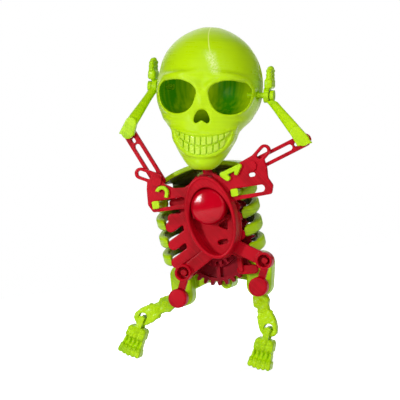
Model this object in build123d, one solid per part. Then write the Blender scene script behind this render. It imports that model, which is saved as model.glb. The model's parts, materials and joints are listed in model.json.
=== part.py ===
from build123d import *
from math import atan2, cos, degrees, hypot, radians, sin, sqrt
import os

# Dancing skeleton toy, in millimetres, +Z up. It faces -Y. Pieces are drawn with the cam
# shaft at x = z = 0, and "depth" is the distance in front of the spine's flat back, so a
# depth d lies at y = -d. The last step lifts everything by base_height, which puts the
# origin on the flat back of the pelvis.
base_height = 31.5

# ---- fits and clearances
running_gap = 0.10        # radial gap of a pin in its eye
loose_gap = 0.35          # side gap between pieces that slide past each other
slot_gap = 0.30           # gap each side of a guide pin in its slot

# ---- depth of each layer
spine_thickness = 6.0
rear_plate_depth = 12.5
rear_plate_thickness = 2.0
gear_depth = rear_plate_depth + rear_plate_thickness + 1.0
gear_thickness = 3.5
train_depth = gear_depth + gear_thickness + 0.8
train_thickness = 2.6
front_plate_depth = train_depth + train_thickness + 0.8
front_plate_thickness = 2.4
hip_arm_depth = front_plate_depth + front_plate_thickness + 0.9
hip_arm_thickness = 3.0
arm_depth = hip_arm_depth + hip_arm_thickness - 1.2
arm_thickness = 2.4
plate_depth = arm_depth + arm_thickness + 0.5
plate_thickness = 2.5
ring_depth = hip_arm_depth + hip_arm_thickness
ring_height = 8.5
disc_depth = ring_depth + 0.6
disc_height = 7.0

# ---- dance mechanism
throw = 6.9               # eccentricity of the cam disc
crank_angle = 24.0        # where the cam stands at rest, from +X
disc_radius = 9.2
gear_module = 1.2
gear_teeth = 32
pinion_teeth = 12
train_module = 1.0
train_teeth = 18
gear_side = 3.0           # sideways place of the main gear
mesh_slack = 0.12         # extra centre distance, for backlash
shaft_radius = 2.0

# ---- yoke
ring_half_width = 12.7
ring_half_height = 21.3
ring_wall = 1.9
ring_tilt = 6.0
ring_drop = 5.5
ring_side = 0.6
shoulder_spread = 24.9
shoulder_rise = 16.5
guide_pin_spread = 20.7
guide_pin_radius = 1.5
guide_pin_rise = 7.6
hip_spread = 21.2
hip_side = 1.8
hip_drop = 31.2
boss_radius = 4.3
link_drop = 12.6
link_lean = 6.0
cap_radius = 4.9

# ---- arms
upper_arm_length = 29.0
upper_arm_width = 6.6
left_arm_angle = 113.5    # of the upper arm, from +X
right_arm_angle = 17.3
arm_pin_radius = 1.6
left_wrist_spread = 30.8
right_wrist_spread = 31.0
left_wrist_depth = 12.0
right_wrist_depth = 24.0
left_wrist_rise = 2.5
right_wrist_rise = -0.8
peg_radius = 1.5
wrist_gap = 0.8

# ---- head
head_lean = -11.0         # roll of the skull, from upright
neck_height = 30.0
neck_depth = 26.0
skull_rise = 30.3         # neck ball to the middle of the skull
skull_depth = 20.0
skull_half_width = 27.0
skull_wall = 2.0
head_yaw = 7.0            # the face's turn on the neck, toward +X
ball_radius = 4.2
neck_pin = 1.5

# ---- torso
rib_half_width = 27.0
rib_reach = 28.0
rib_thickness = 3.6
rib_height = 5.6
rib_pitch = 9.2
rib_slope = 18.0
rib_count = 4
spine_width = 7.0
spine_top = 27.0
spine_bottom = -26.5
pelvis_spread = 20.4
pelvis_drop = 40.7
pelvis_depth = 6.0
pelvis_thickness = 9.0
eye_spread = 13.7
eye_rise = -2.4
brow_lift = 1.5

# ---- legs
leg_length = 22.5
leg_gap = 0.5
leg_thickness = 4.6
left_leg_angle = -160.0
right_leg_angle = -83.0
left_foot_angle = -121.0
right_foot_angle = -113.0
ankle_radius = 4.6
ankle_hole = 2.3
foot_length = 16.0
foot_width = 12.2

wrist_ring = 3.0
wrist_radius = 3.7
forearm_foot = 3.0
backlash = 0.16
gear_hub = 10.8
gear_spokes = 6
crank_gap = 1.0
crank_thickness = 3.5
crank_length = 20.0
handle_pin = 1.7
handle_length = 12.0
rib_end = 20.4
rib_front = 4.6
vertebra_pitch = 6.5
collar_radius = 53.0
collar_top = 25.4
collar_middle = 4.0
collar_back = 13.0
collar_wall = 2.6
collar_half = 20.5
collar_reach = 20.5
guide_spigot = 1.0
post_heights = (18.0, -21.0)
finger_width = 5.6
strut_x = 14.7
strut_top = -19.5
strut_bottom = -31.6
spacer_places = ((-14.0, 7.0), (14.0, 7.0), (-16.0, -0.5), (17.5, 0.5))
clip_height = 2.2
link_pin = 1.7
link_thickness = 2.2
hip_pin = 1.6
cup_height = 3.4
slide_left = 13.2
slide_right = 0.3

# ---- places worked out from the sizes above
cam_x = throw * cos(radians(crank_angle))
cam_z = throw * sin(radians(crank_angle))
train_distance = train_module * train_teeth + mesh_slack
gear_z = -sqrt(train_distance**2 - gear_side**2)
pinion_distance = gear_module * (gear_teeth + pinion_teeth) / 2 + mesh_slack
pinion_z = gear_z + sqrt(pinion_distance**2 - gear_side**2)
yoke_travel_left = cam_x + throw
yoke_travel_right = throw - cam_x
neck_point = (cam_x, neck_height)
skull_x = cam_x - skull_rise * sin(radians(head_lean))
skull_z = neck_height + skull_rise * cos(radians(head_lean))
leg_depth = pelvis_depth + pelvis_thickness + leg_gap
slot_reach = (guide_pin_spread - throw - slot_gap, guide_pin_spread + throw + slot_gap)

written = {}


def keep(name, shape):
    """Notes a node's solid, to be written at the end."""
    written[name] = shape


def slab(sketch, depth, thickness):
    """A flat piece drawn in X and Z, from depth to depth + thickness."""
    return extrude(Plane.XZ.offset(depth) * sketch, thickness)


def rod(x, z, radius, depth, length):
    """A round bar along Y."""
    return slab(Pos(x, z) * Circle(radius), depth, length)


def bar(x1, z1, x2, z2, width):
    """A flat bar with round ends, drawn in X and Z."""
    middle = Pos((x1 + x2) / 2, (z1 + z2) / 2)
    length = hypot(x2 - x1, z2 - z1)
    turn = Rot(0, 0, degrees(atan2(z2 - z1, x2 - x1)))
    return middle * turn * SlotCenterToCenter(length, width)


def along(x, z, angle, distance):
    """The point at a distance from (x, z), in the direction angle."""
    return x + distance * cos(radians(angle)), z + distance * sin(radians(angle))


# ---- skull
def skull_loft(wall):
    """The skull as a stack of ellipses, taken in by wall."""
    rows = (
        (33.0, 0.10, -2.4, 3.8), (32.1, 0.25, -6.8, 8.6), (29.8, 0.44, -12.4, 14.6),
        (25.8, 0.65, -18.6, 21.2), (19.5, 0.84, -23.8, 26.4), (11.0, 0.97, -27.0, 29.4),
        (1.0, 1.00, -28.0, 29.4), (-7.0, 0.95, -27.4, 25.5), (-14.0, 0.80, -26.8, 15.5),
        (-21.0, 0.65, -26.8, 4.5), (-29.0, 0.49, -25.8, -2.5), (-35.0, 0.34, -24.2, -7.0),
        (-38.6, 0.17, -21.0, -11.5),
    )
    low, high = rows[-1][0], rows[0][0]
    sections = []
    for z, share, front, back in rows:
        level = z - wall * (z - (low + high) / 2) / ((high - low) / 2)
        ellipse = Ellipse(share * skull_half_width - wall, (back - front) / 2 - wall)
        sections.append(Plane((0, (front + back) / 2, level)) * ellipse)
    return loft(sections)


def eye_outline(side, grow=0):
    """One eye socket, drawn on the face: flat under the brow and round below."""
    points = ((-9.4, 4.8), (-4.0, 7.9), (3.4, 8.0), (8.4, 6.0), (9.2, -0.4), (5.6, -6.4),
              (-0.6, -8.4), (-6.6, -6.6), (-9.8, -1.6))
    points = [Vector(side * x, z) for x, z in points]
    points = [p + p.normalized() * grow for p in points]
    return Pos(side * eye_spread, eye_rise) * make_face(Spline(*points, periodic=True))


def nose_cut():
    """The nose opening, an arch with a notched foot."""
    outline = Polygon((0, -8.6), (-2.0, -9.6), (-4.2, -14.6), (-2.6, -15.6), (0, -13.6),
                      (2.6, -15.6), (4.2, -14.6), (2.0, -9.6), align=None)
    outline = fillet(outline.vertices(), 0.7)
    return extrude(Plane.XZ.offset(12) * outline, 20)


def smile(half, ends, top, bottom):
    """A crescent between two arcs that meet at the corners of the mouth."""
    upper = ThreePointArc((-half, ends), (0, top), (half, ends))
    lower = ThreePointArc((half, ends), (0, bottom), (-half, ends))
    return make_face([upper, lower])


def wrist_spot(side):
    """Where a wrist hangs on the head: sideways, in depth, and above the middle."""
    if side < 0:
        return left_wrist_spread, left_wrist_depth, left_wrist_rise
    return right_wrist_spread, right_wrist_depth, right_wrist_rise


def head_place():
    """Where the skull stands: leaning, above the neck."""
    return Pos(skull_x, -skull_depth, skull_z) * Rot(0, -head_lean, 0)


def solid_of(shape):
    """The largest solid of a shape."""
    return max(shape.solids(), key=lambda s: s.volume)


def raised(sketch, height, base=skull_wall - 0.4):
    """A flat outline on the face, made to stand out of the skull by height."""
    skin = skull_loft(-height) - skull_loft(base)
    return extrude(Plane.XZ.offset(9) * sketch, 24) & skin


def tooth_row(count, pitch, band):
    """The part of the mouth in band, cut into teeth."""
    row = Sketch()
    for i in range(count):
        x = (i - (count - 1) / 2) * pitch
        row += (Pos(x, -25) * Rectangle(pitch - 0.3, 20)) & band
    return row


def neck_socket():
    """The cup in the jaw that sits over the neck ball, and the web that carries it."""
    y = skull_depth - neck_depth
    cup = Pos(0, y, -skull_rise + 3.5) * Cylinder(ball_radius + 2.4, 12)
    web = Pos(0, y, -skull_rise + 5.8) * Box(40, 3.6, 7.4)
    socket = cup + (web & skull_loft(skull_wall - 0.4))
    socket -= Pos(0, y, -skull_rise) * Sphere(ball_radius + 0.3)
    socket -= Pos(0, y, -skull_rise - 4) * Cylinder(ball_radius - 0.5, 8)
    socket -= Pos(0, y, -skull_rise) * Rot(90, 0, 0) * Cylinder(neck_pin + running_gap, 20)
    return socket


def make_skull():
    outer = skull_loft(0)
    shell = outer - skull_loft(skull_wall)
    for side in (-1, 1):
        eye = eye_outline(side)
        brow = eye_outline(side, 2.4) & (Pos(side * eye_spread, 8.4) * Rectangle(40, 14))
        shell += raised(eye_outline(side, 1.4), 0.8)
        shell += raised(brow, brow_lift)
        shell -= extrude(Plane.XZ.offset(7) * eye, 26)
    shell += raised(smile(17.6, -16.8, -20.4, -33.2), 0.9)
    mouth = smile(15.4, -18.4, -21.8, -31.4)
    shell -= raised(mouth, 1.6, 0.1)
    shell -= nose_cut()
    shell -= Pos(0, skull_depth - neck_depth + 4, -skull_rise) * Cylinder(8.5, 24)
    turn = Rot(0, 0, head_yaw)
    skull = turn * solid_of(shell) + neck_socket()
    for side in (-1, 1):
        spread, depth, rise = wrist_spot(side)
        skull -= Pos(side * 24, skull_depth - depth, rise) * Rot(0, 90, 0) * Cylinder(peg_radius, 12)
    keep("skull", head_place() * solid_of(skull))
    gums = smile(15.0, -18.6, -22.0, -31.2)
    line = Pos(0, -8.2) * Circle(18.2)
    rows = (("upper_teeth", 10, 2.8, gums & line), ("lower_teeth", 8, 3.0, gums - offset(line, 0.4)))
    for name, count, pitch, band in rows:
        teeth = raised(tooth_row(count, pitch, band), 0.7, 0.1)
        keep(name, head_place() * turn * Compound(children=teeth.solids()))


def make_temple_pegs():
    """The pegs that the wrists hang on, with a collar inside and a knob outside."""
    for name, side in (("left", -1), ("right", 1)):
        spread, depth, rise = wrist_spot(side)
        turn = Rot(0, side * 90, 0)
        start = 21.0
        knob = spread + wrist_ring / 2 + loose_gap
        peg = Pos(0, 0, (start + knob) / 2) * Cylinder(peg_radius - 0.02, knob - start)
        peg += Pos(0, 0, knob + 0.9) * Cylinder(peg_radius + 1.3, 1.8)
        keep("temple_peg_" + name, head_place() * Pos(0, skull_depth - depth, rise) * turn * solid_of(peg))


# ---- gears
def gear_outline(module, teeth, pitch_angle):
    """A spur gear's outline, with a tooth centred on pitch_angle and 20 degree flanks."""
    pitch = module * teeth / 2
    tip = pitch + 0.85 * module
    root = pitch - 1.1 * module
    base = pitch * cos(radians(20))
    half_tooth = degrees((1.5708 - backlash / module) / teeth)

    def involute(radius):
        if radius <= base:
            return 0.0
        slope = sqrt((radius / base) ** 2 - 1)
        return degrees(slope - atan2(slope, 1))

    points = []
    for i in range(teeth):
        middle = pitch_angle + 360 * i / teeth
        radii = (root, max(base, root) + 0.02, pitch, tip)
        flank = [(r, half_tooth + involute(pitch) - involute(r)) for r in radii]
        for r, a in flank:
            points.append((r * cos(radians(middle - a)), r * sin(radians(middle - a))))
        for r, a in reversed(flank):
            points.append((r * cos(radians(middle + a)), r * sin(radians(middle + a))))
    return make_face(Polyline(*points, close=True))


def make_gears():
    to_pinion = degrees(atan2(pinion_z - gear_z, -gear_side))
    to_cam = degrees(atan2(-gear_z, -gear_side))
    face = gear_outline(gear_module, gear_teeth, to_pinion)
    pitch = gear_module * gear_teeth / 2
    rim = pitch - 1.1 * gear_module - 1.7
    web = Circle(rim) - Circle(gear_hub)
    for i in range(gear_spokes):
        web -= Rot(0, 0, 360 * i / gear_spokes + 25) * Pos(rim / 2, 0) * Rectangle(rim, 1.9)
    face -= web
    face -= Circle(shaft_radius)
    main = slab(Pos(gear_side, gear_z) * face, gear_depth, gear_thickness)
    main += slab(Pos(gear_side, gear_z) * (Circle(rim + 0.3) - Circle(shaft_radius)), gear_depth, 1.0)
    keep("spoked_gear", solid_of(main))
    train = gear_outline(train_module, train_teeth, to_cam) - Circle(shaft_radius)
    keep("train_pinion", slab(Pos(gear_side, gear_z) * train, train_depth, train_thickness))
    cam_tooth = to_cam + 180 + 180 / train_teeth
    cam = gear_outline(train_module, train_teeth, cam_tooth) - Circle(shaft_radius)
    keep("cam_gear", slab(cam, train_depth, train_thickness))
    tooth = to_pinion + 180 + 180 / pinion_teeth
    pinion = gear_outline(gear_module, pinion_teeth, tooth) - Circle(shaft_radius)
    keep("input_pinion", slab(Pos(0, pinion_z) * pinion, gear_depth, gear_thickness))


def make_shafts():
    fit = shaft_radius - 0.02
    end = front_plate_depth + front_plate_thickness
    length = end - rear_plate_depth
    keep("gear_shaft", rod(gear_side, gear_z, fit, rear_plate_depth + 0.3, length - 0.3))
    keep("cam_shaft", rod(0, 0, fit, train_depth, disc_depth - loose_gap - train_depth))
    back = crank_gap + crank_thickness
    length = gear_depth + gear_thickness + back
    keep("input_shaft", rod(0, pinion_z, fit, -back, length))


def make_crank():
    """The hand crank on the back: an arm on the input shaft, and a turning handle."""
    depth = -crank_gap - crank_thickness
    arm = bar(0, pinion_z, 0, pinion_z - crank_length, 8.0)
    arm -= Pos(0, pinion_z) * Circle(shaft_radius)
    keep("crank_arm", slab(arm, depth, crank_thickness)
         + rod(0, pinion_z - crank_length, handle_pin, depth - handle_length, handle_length))
    knob = Circle(3.6) - Circle(handle_pin + running_gap)
    knob = slab(Pos(0, pinion_z - crank_length) * knob, depth - handle_length, handle_length - 0.4)
    keep("crank_handle", knob)


# ---- torso
def hoop(z, reach):
    """One rib, a sloping open hoop."""
    outline = RectangleRounded(2 * rib_half_width, reach, 13)
    outline -= RectangleRounded(2 * (rib_half_width - rib_thickness),
                                reach - 2 * rib_thickness, 13 - rib_thickness)
    outline -= Pos(0, -reach / 2) * Rectangle(2 * rib_end, reach)
    shape = extrude(outline, rib_height / 2, both=True)
    shape = fillet(shape.edges().filter_by(Plane.XY), 1.1)
    lift = Pos(0, -0.7, z) * Rot(rib_slope, 0, 0) * Pos(0, -reach / 2, 0)
    return lift * shape


def make_rib_cage():
    column = slab(Pos(0, (spine_top + spine_bottom) / 2)
                  * Rectangle(spine_width - 2, spine_top - spine_bottom), 0, spine_thickness - 1)
    count = int((spine_top - spine_bottom) / vertebra_pitch)
    for i in range(count):
        z = spine_bottom + vertebra_pitch * (i + 0.5)
        bone = RectangleRounded(spine_width + 2, vertebra_pitch - 1.6, 1.2)
        column += slab(Pos(0, z) * bone, 0, spine_thickness)
    cage = column
    for i in range(rib_count):
        reach = rib_reach if i < rib_count - 1 else rib_reach - 1.6
        drop = reach * sin(radians(rib_slope))
        cage += hoop(rib_front - rib_pitch * i + drop, reach)
    cage += collar()
    for z in post_heights:
        cage += rod(0, z, 3.4, 0, rear_plate_depth)
    for side in (-1, 1):
        x = side * guide_pin_spread
        cage += rod(x, guide_pin_rise, 2.7, rib_reach - 8, front_plate_depth - rib_reach + 8)
        cage -= rod(x, guide_pin_rise, guide_spigot, front_plate_depth - 3, 4)
        cage -= rod(x, guide_pin_rise, guide_pin_radius + 0.02, front_plate_depth, 12)
    cage -= rod(0, pinion_z, shaft_radius + running_gap, -1, rear_plate_depth + 2)
    tip = gear_module * (gear_teeth / 2 + 0.85)
    cage -= rod(gear_side, gear_z, tip + 0.6, gear_depth - 0.6, gear_thickness + 1.2)
    keep("rib_cage", solid_of(cage))


def collar():
    """The shoulder arch over the ribs, open to the front, with its back wall."""
    middle = collar_top - collar_radius
    width = Pos(collar_middle / 4, collar_back + 10) * Rectangle(2 * collar_half, 20)
    arch = Pos(collar_middle, middle) * (Circle(collar_radius) - Circle(collar_radius - collar_wall))
    wall = Pos(collar_middle, middle) * Circle(collar_radius)
    vault = slab(arch & width, 0.6, collar_reach)
    return vault + slab(wall & width, 0.6, collar_wall)


def make_plates():
    """The rear and front plates that carry the shafts, and the spacers between them."""
    rear = Pos(2, -6) * RectangleRounded(34, 34, 5)
    for x, z in spacer_places:
        rear += Pos(x, z) * Circle(2.8)
    rear -= Pos(0, pinion_z) * Circle(shaft_radius + running_gap)
    rear -= Pos(gear_side, gear_z) * Circle(shaft_radius + running_gap)
    keep("rear_plate", slab(rear, rear_plate_depth, rear_plate_thickness))
    front = Pos(1, -5.5) * RectangleRounded(24, 31, 6)
    for x, z in spacer_places:
        front += bar(0, z - 2, x, z, 5.0)
    for i in range(1, rib_count):
        z = rib_front - rib_pitch * i
        for side in (-1, 1):
            front += bar(side * 8, z + 4.8, side * (rib_end - finger_width / 2 - 0.05), z, finger_width)
    front += bar(8, -15, strut_x, strut_top, 4.0)
    front -= Circle(shaft_radius + running_gap)
    front -= Pos(gear_side, gear_z) * Circle(shaft_radius + running_gap)
    plate = slab(front, front_plate_depth, front_plate_thickness)
    plate += slab(bar(strut_x, strut_top, strut_x, strut_bottom, 2.5), train_depth, front_plate_depth - train_depth)
    foot = bar(strut_x, strut_bottom, strut_x + 6.5, strut_bottom - 0.6, 4.6)
    plate += slab(foot, train_depth, train_thickness)
    keep("front_plate", solid_of(plate))
    gap = front_plate_depth - rear_plate_depth - rear_plate_thickness
    pieces = [rod(x, z, 1.6, rear_plate_depth + rear_plate_thickness, gap) for x, z in spacer_places]
    keep("plate_spacers", Compound(children=pieces))


def make_guide_pins():
    for name, side in (("left", -1), ("right", 1)):
        x = side * guide_pin_spread
        pin = rod(x, guide_pin_rise, guide_spigot - 0.03, front_plate_depth - 2.6, 2.6)
        front = plate_depth + plate_thickness + loose_gap
        pin += rod(x, guide_pin_rise, guide_pin_radius, front_plate_depth, front - front_plate_depth)
        head = Pos(x, guide_pin_rise) * RectangleRounded(3.6, 3.8, 0.7)
        pin += slab(head, front, 1.5)
        keep("guide_pin_" + name, solid_of(pin))


# ---- yoke
def ring_ellipse(inset):
    """The ring's outline, taken in by inset."""
    x = cam_x + ring_side
    z = cam_z - ring_drop
    return Pos(x, z) * Rot(0, 0, ring_tilt) * Ellipse(ring_half_width - inset, ring_half_height - inset)


def shoulder_plate(side):
    """One shoulder plate, from the ring out, drawn about the disc's middle."""
    if side > 0:
        edge = ((4, 16.4), (8.5, 13.6), (12.4, 13.4), (19.4, 19.4), (26, 21.8), (31.4, 19.6), (32.2, 14.8),
                (32, 9.5), (34, 5.4), (32.6, 1.2), (6, 0.6))
        loop = (26.5, 18.5, 32.4, 23.2)
    else:
        edge = ((-4, 16.4), (-7.5, 13.0), (-11.5, 11.2), (-17, 11.8), (-21.4, 14.6), (-24.6, 20.0),
                (-29.6, 19.4), (-31.0, 13.3), (-31.6, 5.4), (-29.4, 1.2), (-6, 0.6))
        loop = (-25.4, 17.8, -33.0, 21.8)
    plate = make_face(Polyline(*edge, close=True))
    corners = [v for v in plate.vertices() if abs(v.X) > 7]
    plate = fillet(corners, 1.3)
    x1, z1, x2, z2 = loop
    plate += bar(x1, z1, x2, z2, 6.0)
    plate -= bar((x1 + x2) / 2, (z1 + z2) / 2, x2, z2, 2.9)
    slot_low, slot_high = slot_reach
    plate -= bar(side * slot_low, guide_pin_rise - cam_z, side * slot_high, guide_pin_rise - cam_z,
                 2 * (guide_pin_radius + slot_gap))
    if side > 0:
        plate -= Pos(24.2, 12.2) * SlotOverall(3.6, 2.0)
    plate -= Pos(side * shoulder_spread, shoulder_rise) * Circle(arm_pin_radius - 0.02)
    return Pos(cam_x, cam_z) * plate


def make_yoke():
    ring = slab(ring_ellipse(0) - ring_ellipse(ring_wall), ring_depth, ring_height)
    yoke = fillet(ring.faces().sort_by(Axis.Y)[0].edges(), 0.7)
    for side in (-1, 1):
        plate = slab(shoulder_plate(side), plate_depth, plate_thickness)
        yoke += plate - slab(ring_ellipse(ring_wall / 2), ring_depth - 1, ring_height + 2)
    keep("yoke", solid_of(yoke))


def make_clips():
    """The two small hooks on the fronts of the shoulder plates."""
    right = bar(9.8, 14.6, 18.9, 17.4, 2.3) + bar(18.9, 17.4, 16.8, 14.2, 2.0)
    right += bar(9.8, 14.6, 12.0, 12.4, 2.8)
    left = Circle(3.5) - Circle(1.7)
    left &= Pos(0, 2.0) * Rectangle(8, 4)
    left = Pos(-22.8, 10.4) * Rot(0, 0, -20) * (left + Pos(2.6, -0.8) * Rectangle(1.8, 2.4))
    for name, clip in (("left", left), ("right", right)):
        hook = slab(Pos(cam_x, cam_z) * clip, plate_depth + plate_thickness, clip_height)
        keep("clip_" + name, solid_of(hook))


def make_neck():
    foot = Pos(cam_x, cam_z + ring_half_height - ring_drop - 1.6) * RectangleRounded(8, 4.6, 1.2)
    post = slab(foot, neck_depth - 2.4, ring_depth - neck_depth + 2.4)
    low = cam_z + ring_half_height - ring_drop
    post += Pos(cam_x, -neck_depth, (low - 2 + neck_height) / 2) * Cylinder(2.4, neck_height - low + 2)
    post += Pos(cam_x, -neck_depth, neck_height) * Sphere(ball_radius)
    post += rod(cam_x, neck_height, neck_pin, neck_depth - 6.4, 12.8)
    keep("neck_post", solid_of(post))


def boss_place(side):
    """Middle of a hip boss."""
    return cam_x + hip_side + side * hip_spread, cam_z - hip_drop


def make_hip_beam():
    """The yoke's base: the floor of the ring, with the arms that carry the hip cups."""
    floor = ring_ellipse(-0.4)
    flanks = {-1: (4.6, -18.6), 1: (13.4, -18.0)}
    for side in (-1, 1):
        floor += bar(*flanks[side], *boss_place(side), 6.6)
    floor -= Pos(cam_x, 0) * Rectangle(4 * ring_half_width, 2 * (shaft_radius + 0.4))
    floor -= Polygon((8.0, -7.6), (13.4, -4.6), (12.8, -10.4), align=None)
    floor -= Pos(9.4, -16.0) * Rot(0, 0, 6) * SlotOverall(5.4, 2.2)
    floor -= Pos(cam_x, cam_z + ring_half_height - ring_drop) * Rectangle(8.1, 7.9)
    solid = slab(floor, hip_arm_depth, hip_arm_thickness)
    for side in (-1, 1):
        x, z = boss_place(side)
        solid += rod(x, z, boss_radius, hip_arm_depth, hip_arm_thickness + cup_height)
        solid -= rod(x, z, boss_radius - 1.2, hip_arm_depth + 2.0, cup_height + 3)
        solid -= rod(x, z, link_pin + running_gap, hip_arm_depth - 1, 8)
    keep("hip_beam", Compound(children=solid.solids()))


def cap_place(side):
    x, z = boss_place(side)
    return x - link_lean, z - link_drop


def make_links():
    depth = hip_arm_depth - loose_gap - link_thickness
    for name, side in (("left", -1), ("right", 1)):
        x, z = boss_place(side)
        cx, cz = cap_place(side)
        link = slab(bar(x, z, cx, cz, 3.8), depth, link_thickness)
        link += rod(x, z, link_pin, depth, hip_arm_thickness + link_thickness + loose_gap + 1.2)
        cap = rod(cx, cz, cap_radius, depth, link_thickness + 3.0)
        link += fillet(cap.faces().sort_by(Axis.Y)[0].edges(), 1.0)
        keep("hip_link_" + name, solid_of(link))


def make_disc():
    disc = rod(cam_x, cam_z, disc_radius, disc_depth, disc_height)
    edge = disc.faces().sort_by(Axis.Y)[0].edges()
    disc = fillet(edge, 2.0)
    keep("cam_disc", disc)


# ---- arms
def shoulder_place(side):
    return cam_x + side * shoulder_spread, cam_z + shoulder_rise


def elbow_place(side):
    x, z = shoulder_place(side)
    return along(x, z, right_arm_angle if side > 0 else left_arm_angle, upper_arm_length)


def wrist_place(side):
    """Middle of a wrist ring: x, depth and z."""
    lean = radians(head_lean)
    spread, depth, rise = wrist_spot(side)
    x = skull_x + side * spread * cos(lean) - rise * sin(lean)
    return x, depth, skull_z + side * spread * sin(lean) + rise * cos(lean)


def make_upper_arms():
    for name, side in (("left", -1), ("right", 1)):
        x, z = shoulder_place(side)
        ex, ez = elbow_place(side)
        angle = degrees(atan2(ez - z, ex - x))
        arm = bar(x, z, ex, ez, upper_arm_width)
        arm -= bar(*along(x, z, angle, 5.4), *along(x, z, angle, 20.6), 3.0)
        arm -= bar(*along(x, z, angle, 24.0), *along(x, z, angle, 24.8), 1.9)
        arm -= Pos(x, z) * Circle(arm_pin_radius + running_gap)
        arm -= Pos(ex, ez) * Circle(arm_pin_radius + running_gap)
        keep("upper_arm_" + name, slab(arm, arm_depth, arm_thickness))
        pin = rod(x, z, arm_pin_radius + 0.9, arm_depth - 1.3, 1.0)
        pin += rod(x, z, arm_pin_radius - 0.04, arm_depth - 1.3, plate_depth + plate_thickness - arm_depth + 1.3)
        pin += rod(x, z, arm_pin_radius + 0.9, plate_depth + plate_thickness, 1.0)
        keep("shoulder_pin_" + name, solid_of(pin))


def make_forearms():
    for name, side in (("left", -1), ("right", 1)):
        ex, ez = elbow_place(side)
        wx, depth, wz = wrist_place(side)
        foot = arm_depth + arm_thickness + loose_gap
        flare = degrees(atan2(wz - ez, wx - ex))
        sx, sz = along(ex, ez, flare, 5.4)
        start = Vector(sx, -foot - forearm_foot / 2, sz)
        end = Vector(wx, -depth, wz)
        run = end - start
        sections = []
        for share, across, deep in ((0.0, 3.1, 1.4), (0.35, 2.7, 1.6), (0.72, 2.2, 1.7), (0.97, 2.3, 1.9)):
            place = Plane(origin=start + run * share, x_dir=Vector(0, 1, 0).cross(run), z_dir=run)
            sections.append(place * Ellipse(across, deep))
        bone = loft(sections)
        lobe = bar(ex, ez, sx, sz, 6.0)
        turn = radians(flare + 90)
        wide = (3.0 * cos(turn), 3.0 * sin(turn))
        ends = ((-4.4, 0.3), (3.0, -2.0)) if side < 0 else ((-3.2, -2.6), (4.2, -2.2))
        low, high = (ex + ends[0][0], ez + ends[0][1]), (ex + ends[1][0], ez + ends[1][1])
        corners = ((sx + wide[0], sz + wide[1]), low, high, (sx - wide[0], sz - wide[1]))
        lobe += make_face(Polyline(*corners, close=True))
        bone += slab(lobe, foot, forearm_foot)
        bone -= Pos(wx, -depth, wz) * Rot(0, 90 - head_lean, 0) * Cylinder(wrist_radius + 0.02, 12)
        keep("forearm_" + name, solid_of(bone))
        pin = rod(ex, ez, arm_pin_radius, arm_depth - 1.3, foot - arm_depth + 1.3)
        pin += rod(ex, ez, arm_pin_radius + 0.9, arm_depth - 1.3, 1.0)
        keep("elbow_pin_" + name, solid_of(pin))


def make_hands():
    for name, side in (("left", -1), ("right", 1)):
        wx, depth, wz = wrist_place(side)
        place = Pos(wx, -depth, wz) * Rot(0, -head_lean, 0)
        palm = Box(4.2, 9.0, 5.4)
        palm = fillet(palm.edges(), 1.5)
        hand = Rot(0, 90, 0) * Cylinder(wrist_radius, wrist_ring) + Pos(side * 1.2, 0, 5.8) * palm
        for i in range(4):
            y = -3.4 + 2.27 * i
            tall = (4.4, 5.6, 5.8, 4.8)[i]
            hand += Pos(side * 1.4, y, 7.6 + tall / 2) * Cylinder(1.15, tall)
            for share in (0.2, 0.6, 1.0):
                hand += Pos(side * 1.4, y, 7.6 + tall * share) * Sphere(1.5)
        hand -= Rot(0, 90, 0) * Cylinder(peg_radius + wrist_gap, 9)
        keep("hand_" + name, solid_of(place * hand))


# ---- hips and legs
def make_pelvis():
    body = slab(Pos(0, -31.5) * RectangleRounded(22, 10, 4), 0, pelvis_depth)
    for side in (-1, 1):
        body += slab(bar(side * 8, -32, side * pelvis_spread, -36, 8), 0, pelvis_depth + 2)
        top, wide = (-pelvis_spread + 0.5, 11) if side < 0 else (pelvis_spread + 2.2, 13)
        lobe = bar(side * pelvis_spread, -pelvis_drop, top, -30.2, wide)
        lobe = slab(lobe, pelvis_depth, pelvis_thickness)
        body += fillet(lobe.faces().sort_by(Axis.Y)[0].edges(), 1.6)
        body += rod(side * pelvis_spread, -pelvis_drop, hip_pin, 10, leg_depth + leg_thickness + loose_gap - 10)
    body += rod(3.7, -37.6, 2.9, 0, pelvis_depth + pelvis_thickness - 1)
    keep("pelvis", solid_of(body))


def soften(shape, radius):
    """Rounds the edges round the front and back of a flat piece."""
    ends = shape.faces().sort_by(Axis.Y)
    return fillet(ends[0].edges() + ends[-1].edges(), radius)


def make_legs():
    """A leg hangs on its hip pin by an eye, and ends in the ankle ring."""
    for name, side, angle in (("left", -1, left_leg_angle), ("right", 1, right_leg_angle)):
        turn = Pos(side * pelvis_spread, -pelvis_drop) * Rot(0, 0, angle)
        side_line = ((-2.0, 1.9), (2.0, 2.4), (6.2, 3.7), (9.0, 4.0), (12.0, 2.9), (15.6, 3.9), (19.0, 4.6),
                     (leg_length + 1.2, ankle_radius - 0.3), (leg_length + 4.2, ankle_radius - 2.0))
        outline = [(-2.9, 0), *side_line, (leg_length + ankle_radius, 0)]
        outline = make_face(Spline(*outline, *[(s, -w) for s, w in reversed(side_line)], periodic=True))
        shin = soften(slab(turn * outline, leg_depth, leg_thickness), 0.8)
        x, z = side * pelvis_spread, -pelvis_drop
        shin -= rod(x, z, hip_pin + running_gap, leg_depth - 1, leg_thickness + 2)
        ax, az = along(x, z, angle, leg_length)
        shin -= rod(ax, az, ankle_hole, leg_depth - 1, leg_thickness + 2)
        keep("leg_" + name, solid_of(shin))


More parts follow.
